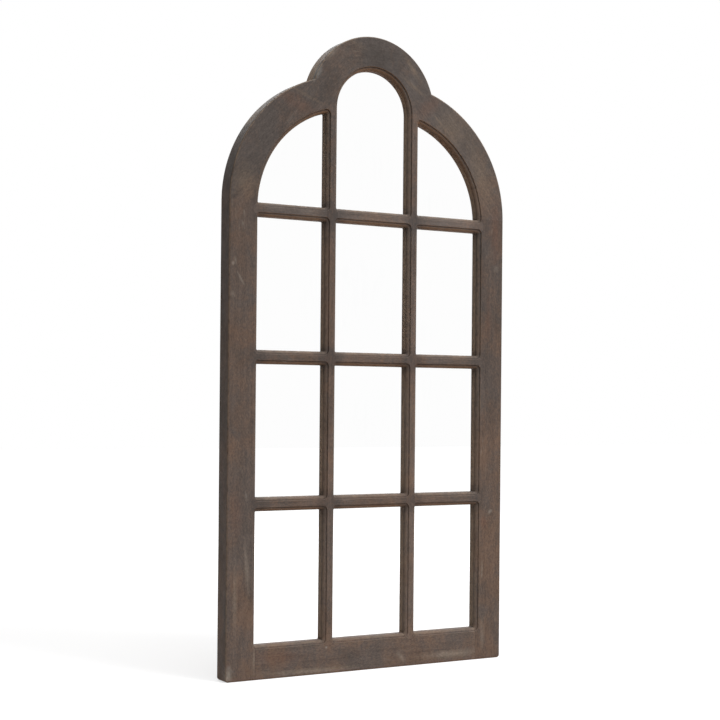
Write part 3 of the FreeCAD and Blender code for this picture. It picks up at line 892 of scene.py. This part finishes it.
class TimberFinish(bpy.types.PropertyGroup):
    warm_stain: finish_colour("Warm stain", "Brown where the stain took well", 113, 91, 77)
    red_stain: finish_colour("Red stain", "Reddest brown, in a few patches", 116, 84, 68)
    grey_stain: finish_colour("Grey stain", "Greyer brown between the warm clouds", 93, 84, 79)
    dark_and_shade_stain: finish_colour("Dark stain", "Dark clouds and open pores", 66, 58, 53)
    under_stain: finish_colour("Underside stain", "Bare warm stain on the undersides", 116, 82, 56)
    grime_stain: finish_colour("Grime", "Dirt in the corners of the lights", 58, 54, 53)
    limed_stain: finish_colour("Limed grain", "Pale filler left in the grain", 160, 146, 130)
    worn_and_highlight_stain: finish_colour("Worn stain", "Rubbed roundings and arrises", 142, 121, 101)
    scuff_stain: finish_colour("Scuff", "Pale scuffs and nicks", 156, 147, 136)
    dust_stain: finish_colour("Dust colour", "Dust on upward faces", 140, 138, 134)
    edge_wear: share("Edge wear", "How far roundings are rubbed", 0.50)
    scuffs: share("Scuffs", "Strength of the pale scuffs", 0.5)
    dust: share("Dust", "Dust on upward faces", 0.18)
    below: share("Undersides", "Strength of the stain on undersides", 0.85)
    side: share("Outer sides", "Strength of the dark stain on the outer sides", 0.22)
    bead: share("Beads", "Dark stain held on the beads beside the uprights", 0.20)
    wall: share("Inner walls", "How far the walls by the glass are rubbed", 0.80)
    grime: share("Corner grime", "Strength of the dirt round the crossings", 0.50)
    joint_line: share("Joint lines", "Strength of the lines where members meet", 0.40)
    foot_tone: share("Foot tone", "Lightness of the stain at the foot", 1.15, 2.0)
    head_tone: share("Head tone", "Lightness of the stain at the crown", 0.72, 2.0)
    cloud_seed: FloatProperty(name="Clouds", description="Which pattern of clouds", default=3.4)
    foot_wear: length("Foot wear", "Height over which the limed grain fades", 0.75)
    patch_depth: length("Patch depth", "How far a patch reaches into the timber", 0.022)
    gloss: share("Gloss", "Specular level of the stained surface", 0.08)
    roughness: share("Roughness", "Roughness of the stained surface", 0.55)
    grain_depth: length("Grain depth", "Depth of the open grain", 0.00022)


class PlateFinish(bpy.types.PropertyGroup):
    silver: finish_colour("Silver", "Reflected tint of the plates", 253, 253, 253)
    film_colour: finish_colour("Film", "Tint of smears on the plates", 240, 241, 242)
    film: share("Film strength", "How much the smears tint the plates", 0.2)


class BackingFinish(bpy.types.PropertyGroup):
    board: finish_colour("Board", "Hardboard, lighter parts", 138, 100, 66)
    board_dark_and_shade: finish_colour("Board shade", "Hardboard, darker mottling", 96, 66, 43)
    board_fleck: finish_colour("Board fleck", "Pale fibres in the board", 170, 136, 98)
    mesh_pitch: length("Mesh pitch", "Spacing of the wire print on the board", 0.0022)


class HardwareFinish(bpy.types.PropertyGroup):
    zinc: finish_colour("Zinc", "Bright zinc on straps and screws", 196, 198, 200)
    zinc_shade: finish_colour("Zinc shade", "Duller zinc crystals", 164, 168, 172)
    nickel: finish_colour("Nickel", "Nickel of the rings", 202, 196, 184)
    nickel_shade: finish_colour("Nickel shade", "Duller nickel", 176, 168, 154)
    rubber: finish_colour("Rubber", "Wall buffers", 42, 40, 39)
    strap_edge: length("Strap edge", "Rounding of the stamped straps", 0.00025)
    flange: length("Buffer flange", "Thickness of a buffer's foot", 0.0014)
    flange_step: length("Flange step", "Width of the foot outside the body", 0.0006)
    face_radius: length("Buffer face", "Radius of a buffer at its face", 0.0080)
    rim: length("Buffer rim", "Width of the rim round the dished face", 0.0022)
    dish: length("Buffer dish", "Depth of the dished face", 0.0006)
    rounding: length("Buffer rounding", "Rounding of a buffer's edges", 0.0005)


class StudioSettings(bpy.types.PropertyGroup):
    lens: FloatProperty(
        name="Lens", description="Focal length on a 36 mm sensor", default=0.07445,
        unit="CAMERA", precision=5,
    )
    shift: FloatProperty(name="Rise", description="Upward shift of the lens", default=0.0537)
    camera_place: FloatVectorProperty(
        name="Camera", description="Where the camera stands", subtype="TRANSLATION", unit="LENGTH",
        size=3, default=(-1.4547, -2.5109, 0.4945),
    )
    yaw: angle("Yaw", "Turn to the right of straight ahead", math.radians(30.0))
    pitch: angle("Pitch", "Upward tilt", 0.0021)
    roll: angle("Roll", "Roll of the camera", 0.0089)
    ambient: share("Ambient", "Grey of the room's light", 0.22, 5.0)
    key_power: power("Key light", "Softbox at the front right", 100.0)
    top_power: power("Top light", "Softbox overhead", 66.0)
    back_power: power("Back light", "Softbox behind the object", 36.0)
    near_lift: share("Near floor", "White added to the floor by the object", 0.62)
    far_lift: share("Far floor", "White added to the floor far off", 0.95)
    floor_size: length("Floor size", "Width of the floor", 24.0)


# ---- one operator for each group of like pieces ----
def round_joint(x, z, radius):
    return Joint(x, z, 0.0, radius * JOINT_OVERRUN, radius)


def bar_end_joints(side):
    """The round outlines of the cross bars' ends, let into one stile."""
    joints = []
    for bar in CROSS_BARS:
        low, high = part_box(bar)
        radius = (high.z - low.z) / 2
        x = (high.x - radius) * (1 if side == "right" else -1)
        joints.append(round_joint(x, low.z + radius, radius))
    return joints


def upright_joints(at_top):
    """Where the upright bars end: level across the crown's moulding, round in the rail."""
    joints = []
    for side in SIDES:
        low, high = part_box(side + "_muntin")
        half = (high.x - low.x) / 2
        if at_top:
            joints.append(Joint(low.x + half, high.z, 0.0, half, width=TOP_JOINT_WIDTH))
        else:
            joints.append(round_joint(low.x + half, low.z + half, half))
    return joints


class MIRROR_OT_dress_frame(bpy.types.Operator):
    """Stain the stiles, the rail, the arch segments and the crown"""
    bl_idname = "arched_mirror.dress_frame"
    bl_label = "Frame timber"

    def execute(self, context):
        rail_half = (RAIL_Z - FLOOR_Z) / 2
        rail_joints = [Joint(x, FLOOR_Z + rail_half, 90.0, rail_half) for x in (-SIGHT_X, SIGHT_X)]
        dress("left_stile", stained_timber(
            "left_stile_stain", UPRIGHT, seed=1.0, tone=0.89, warmth=0.10,
            marks=LEFT_STILE_MARKS + HEAD_MARKS, joints=[rail_joints[0], *bar_end_joints("left")]))
        dress("right_stile", stained_timber(
            "right_stile_stain", UPRIGHT, seed=2.7, tone=0.80, warmth=0.15,
            marks=RIGHT_STILE_MARKS + HEAD_MARKS,
            joints=[rail_joints[1], *bar_end_joints("right")]))
        dress("bottom_rail", stained_timber(
            "bottom_rail_stain", LEVEL, seed=4.1, tone=0.89, warmth=0.05, limed=0.45,
            marks=RAIL_MARKS, joints=[*rail_joints, *upright_joints(at_top=False)]))
        for node, stain, turn, seed, tone in (
            ("left_arch_segment", "left_arch_stain", -SHOULDER, 5.3, 0.87),
            ("right_arch_segment", "right_arch_stain", SHOULDER, 6.9, 0.94),
            ("crown_arch", "crown_stain", LEVEL, 8.2, 0.82),
        ):
            dress(node, stained_timber(
                stain, turn, seed, tone, marks=HEAD_MARKS, joints=upright_joints(at_top=True)))
        return {"FINISHED"}


class MIRROR_OT_dress_bars(bpy.types.Operator):
    """Stain the upright and the cross bars"""
    bl_idname = "arched_mirror.dress_bars"
    bl_label = "Glazing bars"

    def execute(self, context):
        for side, seed, tone in (("left", 12.0, 0.90), ("right", 15.0, 1.02)):
            dress(side + "_muntin", stained_timber(
                side + "_muntin_stain", UPRIGHT, seed, tone, warmth=0.30, limed=0.45, uneven=2.0,
                joints=[*upright_joints(at_top=False), *upright_joints(at_top=True)]))
        ends = [*bar_end_joints("left"), *bar_end_joints("right")]
        for bar, seed, tone in zip(CROSS_BARS, (20.0, 23.0, 26.0), (0.90, 0.93, 1.28)):
            dress(bar, stained_timber(
                bar + "_stain", LEVEL, seed, tone, warmth=0.15, limed=0.45, uneven=2.0,
                joints=ends))
        return {"FINISHED"}


class MIRROR_OT_dress_plates(bpy.types.Operator):
    """Silver the three mirror plates"""
    bl_idname = "arched_mirror.dress_plates"
    bl_label = "Mirror plates"

    def execute(self, context):
        silver = silvered_glass("silvered_glass")
        for node in ("left_mirror", "centre_mirror", "right_mirror"):
            dress(node, silver)
        return {"FINISHED"}


class MIRROR_OT_dress_backing(bpy.types.Operator):
    """Finish the hardboard panel, its screws and the dowels"""
    bl_idname = "arched_mirror.dress_backing"
    bl_label = "Backing, screws and dowels"

    def execute(self, context):
        finish = context.scene.mirror_hardware
        dress("backing_panel", hardboard("hardboard"))
        zinc = plated_steel(
            "zinc_screw", finish.zinc, finish.zinc_shade,
            roughness=0.26, brushed=0.06, relief=SMOOTH_RELIEF)
        dress("panel_screws", zinc)
        dress("hanger_screws", zinc)
        dress("frame_dowels", beech("beech_dowel"))
        return {"FINISHED"}


class MIRROR_OT_model_hangers(bpy.types.Operator):
    """Model the stamped hanger straps and finish their rings"""
    bl_idname = "arched_mirror.model_hangers"
    bl_label = "Ring hangers"

    def execute(self, context):
        finish = context.scene.mirror_hardware
        zinc = plated_steel(
            "zinc_strap", finish.zinc, finish.zinc_shade,
            roughness=0.30, brushed=0.16, relief=BRUSHED_RELIEF)
        nickel = plated_steel(
            "nickel_ring", finish.nickel, finish.nickel_shade,
            roughness=0.20, brushed=0.05, relief=SMOOTH_RELIEF)
        for side in SIDES:
            softened_copy(
                side + "_hanger_strap", side + "_stamped_strap", finish.strap_edge,
                zinc,
            )
            dress(side + "_ring", nickel)
        return {"FINISHED"}


class MIRROR_OT_model_buffers(bpy.types.Operator):
    """Model the two rubber buffers that keep the lower edge off the wall"""
    bl_idname = "arched_mirror.model_buffers"
    bl_label = "Wall buffers"

    def execute(self, context):
        rubber = buffer_rubber("buffer_rubber")
        for side in SIDES:
            model_buffer(side, rubber)
        return {"FINISHED"}


class MIRROR_OT_set_stage(bpy.types.Operator):
    """Set the pale floor, the soft studio light and the camera"""
    bl_idname = "arched_mirror.set_stage"
    bl_label = "Stage"

    def execute(self, context):
        studio = context.scene.mirror_studio
        light_room(context.scene, studio)
        lay_floor(studio)
        for softbox in SOFTBOXES:
            hang_softbox(softbox, getattr(studio, softbox.power))
        place_camera(context.scene, studio)
        context.scene.view_settings.view_transform = "Standard"
        return {"FINISHED"}


def seen_or_mirrored(graph):
    """One where the camera looks, straight or by a reflection; never for light on the object."""
    path = graph.node("ShaderNodeLightPath").outputs
    seen = graph.math("MAXIMUM", path["Is Camera Ray"], path["Is Glossy Ray"])
    seen = graph.math("MAXIMUM", seen, path["Is Transmission Ray"])
    straight = graph.math("LESS_THAN", path["Diffuse Depth"], 0.5)
    return graph.times(seen, straight)


def light_room(scene, studio):
    """A world that lights with an even grey and is white where it is looked at."""
    world = bpy.data.worlds.new("white_room")
    graph = emptied(world)
    lit = graph.node("ShaderNodeBackground", {"Color": WHITE, "Strength": studio.ambient})
    white = graph.node("ShaderNodeBackground", {"Color": WHITE, "Strength": 1.0})
    chosen = graph.node(
        "ShaderNodeMixShader",
        {0: seen_or_mirrored(graph), 1: lit.outputs[0], 2: white.outputs[0]},
    )
    graph.node("ShaderNodeOutputWorld", {"Surface": chosen.outputs[0]})
    scene.world = world


def lay_floor(studio):
    """A plain floor under the lower edge, lifted to white where nothing shades it."""
    deselect_all()
    bpy.ops.mesh.primitive_plane_add(size=studio.floor_size, location=(0.0, 0.0, FLOOR_Z))
    floor = bpy.context.object
    floor.name = "studio_floor"
    material = bpy.data.materials.new("pale_floor")
    graph = emptied(material)
    diffuse = graph.node("ShaderNodeBsdfDiffuse", {"Color": FLOOR_GREY})
    rise = graph.rise(
        graph.length(graph.here()), LIFT_START, LIFT_END, studio.near_lift, studio.far_lift,
    )
    lift = graph.node(
        "ShaderNodeEmission",
        {"Color": WHITE, "Strength": graph.times(seen_or_mirrored(graph), rise)},
    )
    both = graph.node("ShaderNodeAddShader", {0: diffuse.outputs[0], 1: lift.outputs[0]})
    graph.node("ShaderNodeOutputMaterial", {"Surface": both.outputs[0]})
    floor.data.materials.append(material)


def hang_softbox(softbox, watts):
    light = bpy.data.lights.new(softbox.name, "AREA")
    light.shape = "SQUARE"
    light.size = softbox.width
    light.energy = watts
    lamp = bpy.data.objects.new(softbox.name, light)
    lamp.location = softbox.place
    aim = Vector(softbox.target) - Vector(softbox.place)
    lamp.rotation_euler = aim.to_track_quat("-Z", "Y").to_euler()
    bpy.context.scene.collection.objects.link(lamp)


def place_camera(scene, studio):
    camera = bpy.data.cameras.new("studio_camera")
    camera.sensor_width = SENSOR_WIDTH
    camera.lens = studio.lens * MM_PER_M
    camera.shift_y = studio.shift
    view = bpy.data.objects.new("studio_camera", camera)
    level = Euler((math.pi / 2 + studio.pitch, 0.0, -studio.yaw)).to_matrix()
    view.matrix_world = Matrix.Translation(studio.camera_place) @ (
        level @ Matrix.Rotation(studio.roll, 3, "Z")
    ).to_4x4()
    scene.collection.objects.link(view)
    scene.camera = view


class MIRROR_PT_panel(bpy.types.Panel):
    """Lists the pieces and the stage of the arched mirror"""
    bl_idname = "MIRROR_PT_panel"
    bl_label = "Arched mirror"
    bl_space_type = "VIEW_3D"
    bl_region_type = "UI"
    bl_category = "Arched mirror"

    def draw(self, context):
        for label, settings, _, operators in SECTIONS:
            box = self.layout.box()
            box.label(text=label)
            group = getattr(context.scene, settings)
            for name in group.bl_rna.properties.keys():
                if name not in ("rna_type", "name"):
                    box.prop(group, name)
            for operator in operators:
                box.operator(operator.bl_idname)


SECTIONS = (
    ("Timber", "mirror_timber", TimberFinish, (MIRROR_OT_dress_frame, MIRROR_OT_dress_bars)),
    ("Mirror plates", "mirror_plate", PlateFinish, (MIRROR_OT_dress_plates,)),
    ("Backing", "mirror_backing", BackingFinish, (MIRROR_OT_dress_backing,)),
    ("Hangers and buffers", "mirror_hardware", HardwareFinish,
     (MIRROR_OT_model_hangers, MIRROR_OT_model_buffers)),
    ("Stage", "mirror_studio", StudioSettings, (MIRROR_OT_set_stage,)),
)
SETTINGS = {name: group for _, name, group, _ in SECTIONS}
OPERATORS = [operator for *_, operators in SECTIONS for operator in operators]
CLASSES = [*SETTINGS.values(), *OPERATORS, MIRROR_PT_panel]


def register():
    for item in CLASSES:
        bpy.utils.register_class(item)
    for name, group in SETTINGS.items():
        setattr(bpy.types.Scene, name, PointerProperty(type=group))


def unregister():
    for name in SETTINGS:
        delattr(bpy.types.Scene, name)
    for item in reversed(CLASSES):
        bpy.utils.unregister_class(item)


def main():
    register()
    for operator in OPERATORS:
        family, name = operator.bl_idname.split(".")
        getattr(getattr(bpy.ops, family), name)()


if __name__ == "__main__":
    main()
